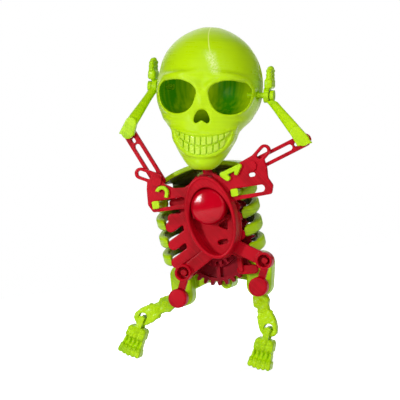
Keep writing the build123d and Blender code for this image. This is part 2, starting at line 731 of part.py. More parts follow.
def make_feet():
    """A foot hangs in its ankle ring by a staple that stands round the ring's lower wall."""
    feet = (("left", -1, left_leg_angle, left_foot_angle), ("right", 1, right_leg_angle, right_foot_angle))
    for name, side, leg, angle in feet:
        ax, az = along(side * pelvis_spread, -pelvis_drop, leg, leg_length)
        middle = leg_depth + leg_thickness / 2
        half = leg_thickness / 2 + loose_gap
        place = Pos(ax, az) * Rot(0, 0, angle)
        top = ankle_radius + 0.9
        foot = slab(place * Circle(0.9), middle - half - 1.4, 2 * half + 2.8)
        for depth in (middle - half - 1.4, middle + half):
            foot += slab(place * Pos(top / 2 + 0.4, 0) * Rectangle(top + 1.6, 3.2), depth, 1.4)
        instep = ((top, 3.9), (top + 1.4, 5.0), (top + 5.4, 5.2), (top + 6.6, 4.2))
        instep = [*instep, *[(s, -w) for s, w in reversed(instep)]]
        foot += soften(slab(place * make_face(Polyline(*instep, close=True)), middle - 3.6, 7.6), 0.9)
        last = top + foot_length
        sole = Pos((top + 4 + last) / 2, 0) * RectangleRounded(last - top - 5.6, foot_width - 2.6, 2)
        foot += slab(place * sole, middle - 3.4, 2.6)
        for i in range(5):
            w = 2.3 * (i - 2)
            foot += slab(place * bar(top + 5, 0.8 * w, last - 4, w, 1.9), middle - 2, 4.9)
            toe = slab(place * bar(last - 4.0, w, last - 1.3 - 0.25 * abs(i - 2), 1.04 * w, 2.6), middle - 3, 6.8)
            foot += fillet(toe.faces().sort_by(Axis.Y)[0].edges(), 0.7)
        keep("foot_" + name, solid_of(foot))


make_skull()
make_temple_pegs()
make_gears()
make_shafts()
make_crank()
make_rib_cage()
make_plates()
make_guide_pins()
make_yoke()
make_clips()
make_neck()
make_hip_beam()
make_links()
make_disc()
make_upper_arms()
make_forearms()
make_hands()
make_pelvis()
make_legs()
make_feet()

os.makedirs("parts", exist_ok=True)
for name, shape in written.items():
    export_step(Pos(0, 0, base_height) * shape, f"parts/{name}.step")
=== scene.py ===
import bpy
import bmesh
import json
from math import cos, exp, pi, radians, sin
from mathutils import Matrix, Vector, noise


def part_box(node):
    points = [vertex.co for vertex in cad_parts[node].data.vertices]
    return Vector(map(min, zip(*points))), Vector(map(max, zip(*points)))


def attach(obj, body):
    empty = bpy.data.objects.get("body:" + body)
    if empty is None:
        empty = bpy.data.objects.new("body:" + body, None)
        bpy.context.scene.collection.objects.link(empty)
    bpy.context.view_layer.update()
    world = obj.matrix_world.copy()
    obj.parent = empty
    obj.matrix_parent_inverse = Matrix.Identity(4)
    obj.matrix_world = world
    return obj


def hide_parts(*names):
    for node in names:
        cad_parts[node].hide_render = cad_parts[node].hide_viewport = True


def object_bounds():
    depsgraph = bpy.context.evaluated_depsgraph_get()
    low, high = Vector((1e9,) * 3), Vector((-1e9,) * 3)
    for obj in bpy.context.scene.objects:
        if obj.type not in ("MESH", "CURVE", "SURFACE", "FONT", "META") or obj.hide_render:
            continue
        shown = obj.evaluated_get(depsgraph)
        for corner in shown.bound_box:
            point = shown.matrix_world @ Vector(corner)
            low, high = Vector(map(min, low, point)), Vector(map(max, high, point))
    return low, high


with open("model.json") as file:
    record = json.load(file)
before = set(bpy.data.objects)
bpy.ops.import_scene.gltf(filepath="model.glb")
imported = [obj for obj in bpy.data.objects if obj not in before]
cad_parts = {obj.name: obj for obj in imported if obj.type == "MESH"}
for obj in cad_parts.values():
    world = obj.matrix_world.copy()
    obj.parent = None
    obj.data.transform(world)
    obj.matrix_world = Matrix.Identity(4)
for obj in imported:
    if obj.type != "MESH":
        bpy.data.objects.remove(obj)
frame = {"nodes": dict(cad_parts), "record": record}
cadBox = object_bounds()
slotOf = {part["node"]: part["material_slot"] for part in frame["record"]["subparts"]}
bodyOf = {node: body for body, nodes in frame["record"]["behaviour"]["bodies"].items() for node in nodes}
print("frame loaded,", len(frame["nodes"]), "nodes")


def middleOf(name):
    low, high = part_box(name)
    return (Vector(low) + Vector(high)) / 2


discMiddle = middleOf("cam_disc")

# the head's own frame, from the middle of the cranium: x to the right as one faces it, y to its back, z up
head = {"lean": 11.0, "yaw": 7.0, "fromMiddle": (-0.00045, -0.00018, 0.00306)}
headPlace = (Matrix.Translation(middleOf("skull") + Vector(head["fromMiddle"]))
             @ Matrix.Rotation(radians(head["lean"]), 4, "Y")
             @ Matrix.Rotation(radians(head["yaw"]), 4, "Z"))

camera = {
    "azimuth": 15.0,         # degrees round from the figure's front, toward its +X side
    "roll": 9.0,             # the figure's top leans this much to the left of the picture
    "target": discMiddle + Vector((-0.0033, -0.0034, 0.0038)),
    "distance": 0.95,
    "fieldWidth": 0.200,     # metres across the picture at the target
    "sensorWidth": 36,       # millimetres
    "farthest": 20,
}


def placeCamera():
    az, roll = radians(camera["azimuth"]), radians(camera["roll"])
    outward = Vector((sin(az), -cos(az), 0))
    level = Vector((cos(az), sin(az), 0))
    up = Vector((0, 0, 1))
    right = level * cos(roll) - up * sin(roll)
    top = up * cos(roll) + level * sin(roll)
    data = bpy.data.cameras.new("sceneCamera")
    data.sensor_width = camera["sensorWidth"]
    data.lens = camera["sensorWidth"] * camera["distance"] / camera["fieldWidth"]
    data.clip_end = camera["farthest"]
    cam = bpy.data.objects.new("sceneCamera", data)
    spot = camera["target"] + outward * camera["distance"]
    turn = Matrix((right, top, outward)).transposed()
    cam.matrix_world = Matrix.Translation(spot) @ turn.to_4x4()
    bpy.context.scene.collection.objects.link(cam)
    bpy.context.scene.camera = cam


placeCamera()
print("camera placed")


def tint(red, green, blue):
    # 0 to 255 screen values to the linear values that the shader takes
    return tuple((v / 255 / 12.92) if v < 10.3 else ((v / 255 + 0.055) / 1.055) ** 2.4
                 for v in (red, green, blue)) + (1.0,)


def newGroup(name, takes, gives):
    group = bpy.data.node_groups.new(name, "ShaderNodeTree")
    for label, kind, value in takes:
        socket = group.interface.new_socket(label, in_out="INPUT", socket_type="NodeSocket" + kind)
        if value is not None:
            socket.default_value = value
    for label in gives:
        group.interface.new_socket(label, in_out="OUTPUT", socket_type="NodeSocketFloat")
    return group, group.nodes.new("NodeGroupInput"), group.nodes.new("NodeGroupOutput")


def feed(tree, socket, value):
    # links an output, or sets a plain value
    if hasattr(value, "is_linked"):
        tree.links.new(value, socket)
    else:
        socket.default_value = value


def calc(tree, operation, a, b=0.0, c=0.0, clamp=False):
    node = tree.nodes.new("ShaderNodeMath")
    node.operation = operation
    node.use_clamp = clamp
    for socket, value in zip(node.inputs, (a, b, c)):
        feed(tree, socket, value)
    return node.outputs[0]


def times(tree, a, b):
    return calc(tree, "MULTIPLY", a, b)


def weighted(tree, first, second):
    # each is a value and its weight
    return calc(tree, "ADD", times(tree, *first), times(tree, *second))


def spread(tree, value, low, high, toLow=0.0, toHigh=1.0, kind="LINEAR"):
    node = tree.nodes.new("ShaderNodeMapRange")
    node.interpolation_type = kind
    settings = {"Value": value, "From Min": low, "From Max": high, "To Min": toLow, "To Max": toHigh}
    for label, setting in settings.items():
        feed(tree, node.inputs[label], setting)
    return node.outputs[0]


def blendColour(tree, share, a, b):
    node = tree.nodes.new("ShaderNodeMix")
    node.data_type = "RGBA"
    sockets = [s for s in node.inputs if s.enabled]
    for socket, value in zip(sockets, (share, a, b)):
        feed(tree, socket, value)
    return next(s for s in node.outputs if s.enabled)


def stretched(tree, vector, scale):
    node = tree.nodes.new("ShaderNodeVectorMath")
    node.operation = "MULTIPLY"
    tree.links.new(vector, node.inputs[0])
    node.inputs[1].default_value = scale
    return node.outputs[0]


def mapped(tree, vector, kind, location=(0, 0, 0), rotation=(0, 0, 0)):
    # "TEXTURE" centres a pattern on a place, "POINT" turns the vector itself
    node = tree.nodes.new("ShaderNodeMapping")
    node.vector_type = kind
    node.inputs["Location"].default_value = location
    node.inputs["Rotation"].default_value = rotation
    tree.links.new(vector, node.inputs["Vector"])
    return node.outputs[0]


def axes(tree, vector):
    node = tree.nodes.new("ShaderNodeSeparateXYZ")
    tree.links.new(vector, node.inputs[0])
    return node.outputs


def cloudy(tree, vector, scale, detail=2.0, rough=0.5):
    node = tree.nodes.new("ShaderNodeTexNoise")
    tree.links.new(vector, node.inputs["Vector"])
    node.inputs["Scale"].default_value = scale
    node.inputs["Detail"].default_value = detail
    node.inputs["Roughness"].default_value = rough
    return node.outputs["Fac"]


layerLook = {
    "drift": 110,                             # noise scale of the waver along a layer
    "band": (30, 30, 1600), "bandShare": 0.55,    # streaks one layer high
    "broad": (18, 18, 260), "broadShare": 0.45,   # and slower ones
}


def makeLayerLines():
    # the stacked layers of a print, one ridge for each layer height along the vector's Z
    takes = (("Vector", "Vector", None), ("Layer Height", "Float", 0.0002), ("Wobble", "Float", 0.2))
    group, start, end = newGroup("layerLines", takes, ("Height", "Streak"))
    vector = start.outputs["Vector"]
    z = axes(group, vector)[2]
    drift = cloudy(group, vector, layerLook["drift"], 3)
    rows = calc(group, "MULTIPLY_ADD", drift, start.outputs["Wobble"],
                calc(group, "DIVIDE", z, start.outputs["Layer Height"]))
    wave = calc(group, "SINE", times(group, rows, 2 * pi))
    feed(group, end.inputs["Height"], spread(group, wave, -1, 1))
    band = cloudy(group, stretched(group, vector, layerLook["band"]), 1.0, 2)
    broad = cloudy(group, stretched(group, vector, layerLook["broad"]), 1.0, 1)
    streak = weighted(group, (band, layerLook["bandShare"]), (broad, layerLook["broadShare"]))
    feed(group, end.inputs["Streak"], streak)
    return group


def makeRaster():
    # the side-by-side strokes that fill a flat top face, drawn on the vector's X and Z
    takes = (("Vector", "Vector", None), ("Stroke Width", "Float", 0.00042), ("Angle", "Float", 0.785))
    group, start, end = newGroup("rasterStrokes", takes, ("Height", "Streak"))
    x, _, z = axes(group, start.outputs["Vector"])
    angle = start.outputs["Angle"]
    run = weighted(group, (x, calc(group, "COSINE", angle)), (z, calc(group, "SINE", angle)))
    count = calc(group, "DIVIDE", run, start.outputs["Stroke Width"])
    wave = calc(group, "SINE", times(group, count, 2 * pi))
    feed(group, end.inputs["Height"], spread(group, wave, -1, 1))
    shade = group.nodes.new("ShaderNodeTexWhiteNoise")    # one shade for each stroke
    shade.noise_dimensions = "1D"
    feed(group, shade.inputs["W"], calc(group, "FLOOR", count))
    feed(group, end.inputs["Streak"], shade.outputs["Value"])
    return group


scuffLook = {
    "patchScale": 130, "patchSpan": (0.4, 0.62), "patchShare": 0.6,
    "scratchScale": (900, 900, 120), "scratchSpan": (0.60, 0.68),
}


def makeScuffs():
    # fine scratches and greasy patches that only change the gloss
    takes = (("Vector", "Vector", None), ("Amount", "Float", 0.5))
    group, start, end = newGroup("scuffs", takes, ("Gloss",))
    vector = start.outputs["Vector"]
    patch = spread(group, cloudy(group, vector, scuffLook["patchScale"], 3), *scuffLook["patchSpan"])
    scratch = cloudy(group, stretched(group, vector, scuffLook["scratchScale"]), 1.0, 3)
    lines = spread(group, scratch, *scuffLook["scratchSpan"])
    both = calc(group, "MAXIMUM", times(group, patch, scuffLook["patchShare"]), lines)
    feed(group, end.inputs["Gloss"], times(group, both, start.outputs["Amount"]))
    return group


layerLines = makeLayerLines()
rasterStrokes = makeRaster()
scuffs = makeScuffs()


def useGroup(tree, group, vector, **values):
    node = tree.nodes.new("ShaderNodeGroup")
    node.node_tree = group
    tree.links.new(vector, node.inputs["Vector"])
    for label, value in values.items():
        feed(tree, node.inputs[label.replace("_", " ")], value)
    return node.outputs


# the two printed plastics; layer and raster are the layer height and stroke width in metres
boneGreen = {
    "light": (188, 226, 4), "mid": (172, 214, 2), "dark": (138, 184, 0),
    "rough": 0.34, "coat": 0.10, "coatRough": 0.16, "specular": 0.12,
    "layer": 0.00030, "bump": 0.16, "raster": 0.00045, "angle": 0.785,
}
mechanismRed = {
    "light": (194, 0, 28), "mid": (180, 0, 24), "dark": (146, 0, 14),
    "rough": 0.40, "coat": 0.04, "coatRough": 0.16, "specular": 0.08,
    "layer": 0.00028, "bump": 0.16, "raster": 0.00048, "angle": 0.62,
}
# the gears and plates at the back lie in the others' shade
mechanismRedShaded = dict(mechanismRed, light=(160, 0, 28), mid=(146, 0, 24), dark=(112, 0, 14))

finishLook = {
    "darkSpan": (0.25, 0.5), "lightSpan": (0.42, 0.75),    # streaks that turn dark to mid, and mid to light
    "roughSpan": (0.2, 0.8), "roughSpread": 0.05, "wear": 0.22, "gloss": 0.5, "ridgeDepth": 0.00008,
    "facing": (0.93, 0.99), "patchScale": 60, "strokeShare": 0.12, "patchShare": 0.88, "edgeWobble": 0.1,
}


def startPlastic(name, look):
    mat = bpy.data.materials.new(name)
    mat.use_nodes = True
    tree = mat.node_tree
    shader = tree.nodes["Principled BSDF"]
    shader.inputs["Coat Weight"].default_value = look["coat"]
    shader.inputs["Coat Roughness"].default_value = look["coatRough"]
    shader.inputs["Specular IOR Level"].default_value = look["specular"]
    place = tree.nodes.new("ShaderNodeTexCoord")
    return mat, tree, shader, place


def streakedColour(tree, look, streak):
    isMid = spread(tree, streak, *finishLook["darkSpan"])
    isLight = spread(tree, streak, *finishLook["lightSpan"])
    low = blendColour(tree, isMid, tint(*look["dark"]), tint(*look["mid"]))
    return blendColour(tree, isLight, low, tint(*look["light"]))


def finishPlastic(tree, shader, look, streak, ridges, vector, colour, gloss=finishLook["gloss"]):
    # gloss from the streaks and scuffs, relief from the ridges
    feed(tree, shader.inputs["Base Color"], colour)
    wear = useGroup(tree, scuffs, vector, Amount=gloss)["Gloss"]
    plain = spread(tree, streak, *finishLook["roughSpan"], look["rough"] + finishLook["roughSpread"],
                   look["rough"] - finishLook["roughSpread"])
    feed(tree, shader.inputs["Roughness"], calc(tree, "ADD", plain, times(tree, wear, finishLook["wear"])))
    bump = tree.nodes.new("ShaderNodeBump")
    bump.inputs["Strength"].default_value = look["bump"]
    bump.inputs["Distance"].default_value = finishLook["ridgeDepth"]
    feed(tree, bump.inputs["Height"], ridges)
    feed(tree, shader.inputs["Normal"], bump.outputs[0])


def makeFlatPrint(name, look):
    # printed lying on its back: strokes on the faces that look along Y, layers on the edges
    mat, tree, shader, place = startPlastic(name, look)
    vector = place.outputs["Object"]
    turned = mapped(tree, vector, "POINT", rotation=(radians(90), 0, 0))
    edge = useGroup(tree, layerLines, turned, Layer_Height=look["layer"], Wobble=finishLook["edgeWobble"])
    face = useGroup(tree, rasterStrokes, vector, Stroke_Width=look["raster"], Angle=look["angle"])
    facing = calc(tree, "ABSOLUTE", axes(tree, place.outputs["Normal"])[1])
    isFace = spread(tree, facing, *finishLook["facing"])
    isEdge = calc(tree, "SUBTRACT", 1.0, isFace)
    ridges = weighted(tree, (face["Height"], isFace), (edge["Height"], isEdge))
    patchy = cloudy(tree, vector, finishLook["patchScale"], 3)
    onFace = weighted(tree, (face["Streak"], finishLook["strokeShare"]), (patchy, finishLook["patchShare"]))
    streak = weighted(tree, (onFace, isFace), (edge["Streak"], isEdge))
    finishPlastic(tree, shader, look, streak, ridges, vector, streakedColour(tree, look, streak))
    return mat


greenFlat = makeFlatPrint("boneGreenFlat", boneGreen)
redFlat = makeFlatPrint("mechanismRedFlat", mechanismRed)
redShaded = makeFlatPrint("mechanismRedShaded", mechanismRedShaded)
print("plastics made")

# the skull's own plastic: the printer's seam, painted pale as a highlight, with a painted highlight under it,
# and an inner wall with painted light, shade and glow; places are in the head's frame
skullLook = dict(boneGreen, **{
    "bump": 0.30, "rough": 0.28, "coat": 0.0, "specular": 0.2, "wobble": 0.12,
    "toneSpan": (0.2, 0.5), "cloudScale": 45, "cloudSpan": (0.35, 0.7), "cloudShare": 0.5,
    "frontEdge": 0.002,       # the seam fades out over this much on each side of the head's middle
    "seamX": 0.0064, "seamSlant": -0.367, "seamLow": 0.018, "seamFade": 0.004, "seamWidth": 0.00034,
    "seamCore": 0.4,          # the share of its width that has the full colour
    # the seam's pale colour, a painted highlight
    "seamHighlight": (222, 244, 120),
    # a painted highlight under the seam, a strip of pale specks: where it ends, its width, splay, share and
    # colour
    "highlightTop": 0.0215, "highlightTopFade": 0.004, "highlightLow": 0.0080, "highlightLowFade": 0.003, "highlightWidth": 0.0038,
    "highlightSplay": 0.05, "highlightShare": 0.85, "highlightColour": (236, 248, 176),
    "speckScale": (1500, 300, 1100), "speckSpan": (0.42, 0.60), "speckLeast": 0.15,
    "innerSpan": (0.001, -0.003),
    # painted light and shade on the inner wall: its dark green shade, its lit olive and the shade behind the
    # nose, and where the lit olive falls across the head
    "innerShade": (30, 92, 0), "innerLit": (112, 138, 2), "noseShade": (20, 56, 0),
    "litAt": -0.010, "litPitch": 0.028,
    "stripScale": (420, 420, 18), "stripSpan": (0.3, 0.7), "stripShare": 0.25,
    # where the painted shade behind the nose starts, and the inner wall's glow, painted light, weaker behind
    # the nose
    "noseSpan": (-0.018, -0.008), "innerGlow": 0.85, "noseGlow": 0.35,
})


def skullOutside(tree, look, vector, streak):
    x, y, z = axes(tree, vector)
    isLight = spread(tree, streak, *look["toneSpan"])
    tone = blendColour(tree, isLight, tint(*look["mid"]), tint(*look["light"]))
    clouds = cloudy(tree, vector, look["cloudScale"], 2)
    isMid = spread(tree, clouds, *look["cloudSpan"], 0.0, look["cloudShare"])
    plain = blendColour(tree, isMid, tone, tint(*look["mid"]))
    onFace = spread(tree, y, look["frontEdge"], -look["frontEdge"])
    # the seam where each layer starts, a fine line down the forehead painted pale as the highlight on its
    # ridge
    below = calc(tree, "SUBTRACT", z, look["seamLow"])
    along = calc(tree, "MULTIPLY_ADD", below, look["seamSlant"], look["seamX"])
    off = calc(tree, "ABSOLUTE", calc(tree, "SUBTRACT", x, along))
    seam = spread(tree, off, look["seamWidth"], look["seamWidth"] * look["seamCore"])
    seam = times(tree, seam, spread(tree, z, look["seamLow"], look["seamLow"] + look["seamFade"]))
    seamed = blendColour(tree, times(tree, seam, onFace), plain, tint(*look["seamHighlight"]))
    # under it, a strip of pale specks: a painted highlight
    splay = times(tree, calc(tree, "SUBTRACT", look["seamLow"], z), look["highlightSplay"])
    strip = spread(tree, calc(tree, "ADD", off, splay), look["highlightWidth"], 0.0, kind="SMOOTHSTEP")
    ends = times(tree, spread(tree, z, look["highlightTop"], look["highlightTop"] - look["highlightTopFade"]),
                 spread(tree, z, look["highlightLow"], look["highlightLow"] + look["highlightLowFade"]))
    strip = times(tree, times(tree, strip, ends), onFace)
    specks = cloudy(tree, stretched(tree, vector, look["speckScale"]), 1.0, 2, 0.7)
    paintedHighlight = times(tree, strip, spread(tree, specks, *look["speckSpan"], look["speckLeast"], 1.0))
    return blendColour(tree, times(tree, paintedHighlight, look["highlightShare"]), seamed, tint(*look["highlightColour"]))


def skullInside(tree, look, vector, inNoseShade):
    # painted light and shade on the inner wall: broad streaks of dark green shade and lit olive, and a darker
    # floor behind the nose as painted shade
    x = axes(tree, vector)[0]
    strips = cloudy(tree, stretched(tree, vector, look["stripScale"]), 1.0, 2)
    turns = calc(tree, "DIVIDE", calc(tree, "SUBTRACT", x, look["litAt"]), look["litPitch"] / (2 * pi))
    sway = spread(tree, strips, *look["stripSpan"], -look["stripShare"], look["stripShare"])
    across = calc(tree, "ADD", spread(tree, calc(tree, "COSINE", turns), -1, 1), sway, clamp=True)
    wall = blendColour(tree, across, tint(*look["innerShade"]), tint(*look["innerLit"]))
    return blendColour(tree, inNoseShade, tint(*look["noseShade"]), wall)


def makeSkullPlastic(look):
    mat, tree, shader, place = startPlastic("skullGreen", look)
    upright = (0, radians(head["lean"]), 0)
    vector = mapped(tree, place.outputs["Object"], "TEXTURE", headPlace.translation, upright)
    z = axes(tree, vector)[2]
    lines = useGroup(tree, layerLines, vector, Layer_Height=look["layer"], Wobble=look["wobble"])
    outside = skullOutside(tree, look, vector, lines["Streak"])
    inside = skullInside(tree, look, vector, spread(tree, z, *look["noseSpan"]))
    # the inner wall faces the middle of the head
    dot = tree.nodes.new("ShaderNodeVectorMath")
    dot.operation = "DOT_PRODUCT"
    tree.links.new(vector, dot.inputs[0])
    tree.links.new(place.outputs["Normal"], dot.inputs[1])
    isInner = spread(tree, dot.outputs["Value"], *look["innerSpan"])
    colour = blendColour(tree, isInner, outside, inside)
    finishPlastic(tree, shader, look, lines["Streak"], lines["Height"], vector, colour)
    # painted light: the inner wall glows in its own painted colours, weaker behind the nose
    glow = times(tree, isInner, spread(tree, z, *look["noseSpan"], look["noseGlow"], 1.0))
    feed(tree, shader.inputs["Emission Color"], blendColour(tree, glow, (0, 0, 0, 1), inside))
    shader.inputs["Emission Strength"].default_value = look["innerGlow"]
    return mat


skullGreen = makeSkullPlastic(skullLook)

# the same green, painted paler all over as the highlight that each crown catches
toothLook = dict(boneGreen, **{
    "light": (206, 236, 74), "mid": (184, 222, 36), "dark": (150, 196, 10),
    "rough": 0.26, "coat": 0.5, "wobble": 0.15,
})


def makeToothPlastic(look):
    mat, tree, shader, place = startPlastic("toothGreen", look)
    turned = mapped(tree, place.outputs["Object"], "POINT", rotation=(0, radians(head["lean"]), 0))
    lines = useGroup(tree, layerLines, turned, Layer_Height=look["layer"], Wobble=look["wobble"])
    streak = lines["Streak"]
    finishPlastic(tree, shader, look, streak, lines["Height"], place.outputs["Object"],
                  streakedColour(tree, look, streak))
    return mat


toothGreen = makeToothPlastic(toothLook)
print("skull and teeth done")

# the rib cage's forward walls lie in the shade of the chest, and so does the collar's underside
cageLook = dict(boneGreen, **{
    "wobble": 0.15,
    "depthSpan": (-0.021, -0.009), "shade": (52, 62, 4),           # darker toward the back of the chest
    "asideSpan": (0.0235, 0.0205), "forwardSpan": (0.15, -0.35),
    "olive": (128, 138, 6), "oliveSpan": (0.0490, 0.0535),         # the same walls, up under the collar
    "under": (70, 84, 6), "underSpan": (-0.2, -0.7), "underShare": 0.7,
})


def makeCagePlastic(look):
    mat, tree, shader, place = startPlastic("cageGreen", look)
    vector = place.outputs["Object"]
    lines = useGroup(tree, layerLines, vector, Layer_Height=look["layer"], Wobble=look["wobble"])
    facing = axes(tree, place.outputs["Normal"])
    x, y, z = axes(tree, vector)
    within = times(tree, spread(tree, y, *look["depthSpan"]),
                   spread(tree, calc(tree, "ABSOLUTE", x), *look["asideSpan"]))
    forward = times(tree, within, spread(tree, facing[1], *look["forwardSpan"]))
    under = times(tree, spread(tree, facing[2], *look["underSpan"]), look["underShare"])
    outside = blendColour(tree, under, streakedColour(tree, look, lines["Streak"]), tint(*look["under"]))
    shade = blendColour(tree, spread(tree, z, *look["oliveSpan"]), tint(*look["shade"]), tint(*look["olive"]))
    colour = blendColour(tree, forward, outside, shade)
    finishPlastic(tree, shader, look, lines["Streak"], lines["Height"], vector, colour)
    return mat


cageGreen = makeCagePlastic(cageLook)

# rings of strokes round the disc's middle, which catch the light in a speckled patch
discLook = dict(mechanismRed, **{
    "ring": 0.00125, "raster": 0.0011, "bump": 0.17, "rough": 0.09, "coat": 0.0, "specular": 0.18,
    "patchScale": 80, "gloss": 0.0,
})


def makeDiscPlastic(look):
    mat, tree, shader, place = startPlastic("discRed", look)
    vector = mapped(tree, place.outputs["Object"], "TEXTURE", discMiddle)
    x, _, z = axes(tree, vector)
    radius = calc(tree, "SQRT", weighted(tree, (x, x), (z, z)))
    rings = calc(tree, "SINE", times(tree, radius, 2 * pi / look["ring"]))
    strokes = useGroup(tree, rasterStrokes, vector, Stroke_Width=look["raster"], Angle=look["angle"])
    grid = times(tree, spread(tree, rings, -1, 1), strokes["Height"])
    patchy = cloudy(tree, vector, look["patchScale"], 3)
    finishPlastic(tree, shader, look, patchy, grid, vector, streakedColour(tree, look, patchy), look["gloss"])
    return mat


discRed = makeDiscPlastic(discLook)

ownPlastic = {"skull": skullGreen, "upper_teeth": toothGreen, "lower_teeth": toothGreen,
              "rib_cage": cageGreen, "cam_disc": discRed}
for node in ("rear_plate", "plate_spacers", "cam_gear", "train_pinion", "input_pinion", "spoked_gear"):
    ownPlastic[node] = redShaded


def plasticOf(node):
    return ownPlastic.get(node, redFlat if slotOf[node] == "mechanism_red" else greenFlat)


def objectFrom(bm, name):
    mesh = bpy.data.meshes.new(name)
    bm.to_mesh(mesh)
    bm.free()
    piece = bpy.data.objects.new(name, mesh)
    bpy.context.scene.collection.objects.link(piece)
    return piece


def evaluatedMesh(piece):
    return bpy.data.meshes.new_from_object(piece.evaluated_get(bpy.context.evaluated_depsgraph_get()))


def ramp(value, start, length):
    # 0 at the start, rising to 1 over the length, which is negative for a fall
    return min(max((value - start) / length, 0), 1)


def bell(value, width):
    return exp(-(value / width) ** 2)


teeth = {"share": 0.88}    # of each tooth's size, so that the gaps stay open


def shrinkEach(bm, share):
    # every loose solid of the mesh is taken in round its own middle, but not toward the head's
    left = dict.fromkeys(bm.verts)    # a set would forget their order, and the sums would differ each run
    while left:
        island, edge = [], [left.popitem()[0]]
        while edge:
            vertex = edge.pop()
            island.append(vertex)
            fresh = [e.other_vert(vertex) for e in vertex.link_edges if e.other_vert(vertex) in left]
            for v in fresh:
                del left[v]
            edge.extend(fresh)
        middle = sum((v.co for v in island), Vector()) / len(island)
        out = (middle - headPlace.translation).normalized()
        for v in island:
            away = v.co - middle
            v.co = middle + away * share + out * away.dot(out) * (1 - share)


limbs = {
    # the limb's direction in degrees, and its joint from the box's top right corner, in metres
    "foot_left": {"angle": -121, "joint": (-0.00157, -0.00117)},
    "foot_right": {"angle": -113, "joint": (-0.00191, -0.00099)},
    "leg_left": {"angle": -160, "joint": (-0.00286, -0.00252)},
    "leg_right": {"angle": -83, "joint": (-0.00724, -0.00288)},
}

# round lumps on the bones: along, across and out from the joint, and a radius, in millimetres
legKnobs = [(5.2, 2.3, 0.2, 1.6), (8.4, 2.7, 0.4, 1.9), (12.0, 2.2, 0.2, 1.4), (15.2, 2.9, 0.4, 1.7)]
legKnobs += [(along + 0.8, -across, out, radius) for along, across, out, radius in legKnobs]
legKnobs += [(4.4, 0.3, 1.2, 1.7), (8.8, -0.4, 1.1, 2.1), (13.4, 0.5, 1.2, 1.9)]
footKnobs = [(7.0, -3.3, 3.2, 1.5), (7.0, 3.3, 3.2, 1.5), (7.2, 0, 3.4, 1.8),
             (10.2, -3.2, 3.1, 1.5), (10.2, 3.2, 3.1, 1.5), (10.0, 0, 3.4, 1.6)]
# the toes fan out to their tips, and the outer ones are shorter
toes = {"reach": 17.2, "shorter": 0.25, "tip": 2.0, "pitch": 2.35, "tipPitch": 2.4}
for toe in range(-2, 3):
    reach = toes["reach"] - toes["shorter"] * abs(toe)
    footKnobs += [(reach, toes["pitch"] * toe, 2.9, 1.3),
                  (reach + toes["tip"], toes["tipPitch"] * toe, 2.6, 1.35)]


def limbPlace(node):
    # a frame with x along the limb, y across it and z out of its front, from its joint
    limb = limbs[node]
    low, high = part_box(node)
    angle = radians(limb["angle"])
    joint = Vector((high[0] + limb["joint"][0], (low[1] + high[1]) / 2, high[2] + limb["joint"][1]))
    along = Vector((cos(angle), 0, sin(angle)))
    across = Vector((-sin(angle), 0, cos(angle)))
    return Matrix.Translation(joint) @ Matrix((along, across, Vector((0, -1, 0)))).transposed().to_4x4()


def addKnobs(bm, place, knobs):
    for along, across, out, radius in knobs:
        spot = place @ Matrix.Translation((along / 1000, across / 1000, out / 1000))
        bmesh.ops.create_icosphere(bm, subdivisions=2, radius=radius / 1000, matrix=spot)


ringFill = {
    # the thick upper wall of the yoke's ring, in metres: its middle from the disc's in x and z, and the
    # depths of its faces in the frame
    "middle": (0.0006, -0.0055), "tilt": 6.0, "front": -0.0377, "back": -0.0325, "segments": 96,
    "halfWidth": 0.0112, "halfHeight": 0.0198,
    "openHalfWidth": 0.0109, "openHalfHeight": 0.0172, "openDrop": 0.0021,
}


def ellipseSlab(name, halfWidth, halfHeight, drop, thick):
    look = ringFill
    depth = (look["back"] - look["front"]) * thick
    middle = Vector((discMiddle.x + look["middle"][0], (look["back"] + look["front"]) / 2,
                     discMiddle.z + look["middle"][1]))
    place = (Matrix.Translation(middle) @ Matrix.Rotation(radians(-look["tilt"]), 4, "Y")
             @ Matrix.Translation((0, 0, -drop)) @ Matrix.Diagonal((halfWidth, depth, halfHeight, 1))
             @ Matrix.Rotation(pi / 2, 4, "X"))
    bm = bmesh.new()
    bmesh.ops.create_cone(bm, cap_ends=True, segments=look["segments"], radius1=1, radius2=1, depth=1,
                          matrix=place)
    bmesh.ops.recalc_face_normals(bm, faces=bm.faces)
    return objectFrom(bm, name)


def ringTop():
    # an ellipse less a lower, shorter one leaves a crescent
    look = ringFill
    full = ellipseSlab("ringFull", look["halfWidth"], look["halfHeight"], 0, 1)
    cut = ellipseSlab("ringCut", look["openHalfWidth"], look["openHalfHeight"], look["openDrop"], 2)
    less = full.modifiers.new("opening", "BOOLEAN")
    less.operation = "DIFFERENCE"
    less.object = cut
    crescent = evaluatedMesh(full)
    for spare in (full, cut):
        bpy.data.objects.remove(spare)
    return crescent


def meltedCopy(node, grain, rounds):
    bm = bmesh.new()
    bm.from_mesh(frame["nodes"][node].data)
    bmesh.ops.remove_doubles(bm, verts=bm.verts, dist=1e-6)
    if "teeth" in node:
        shrinkEach(bm, teeth["share"])
    if node == "yoke":
        bm.from_mesh(ringTop())
    if node in limbs:
        addKnobs(bm, limbPlace(node), legKnobs if "leg" in node else footKnobs)
    piece = objectFrom(bm, node + "Print")
    remesh = piece.modifiers.new("grain", "REMESH")
    remesh.mode = "VOXEL"
    remesh.voxel_size = grain
    smooth = piece.modifiers.new("melt", "SMOOTH")
    smooth.factor = 0.5
    smooth.iterations = rounds
    shaped = evaluatedMesh(piece)
    piece.modifiers.clear()
    piece.data = shaped
    shaped.name = node + "Print"
    shaped.shade_smooth()
    return piece


# the sockets as ellipses on the face, in millimetres, and the band round them that is smoothed
eyes = {"aside": 13.7, "rise": -2.6, "halfWidth": 9.4, "halfHeight": 8.1, "front": -6,
        "rim": 1.12, "reach": 1.85, "rounds": 30}


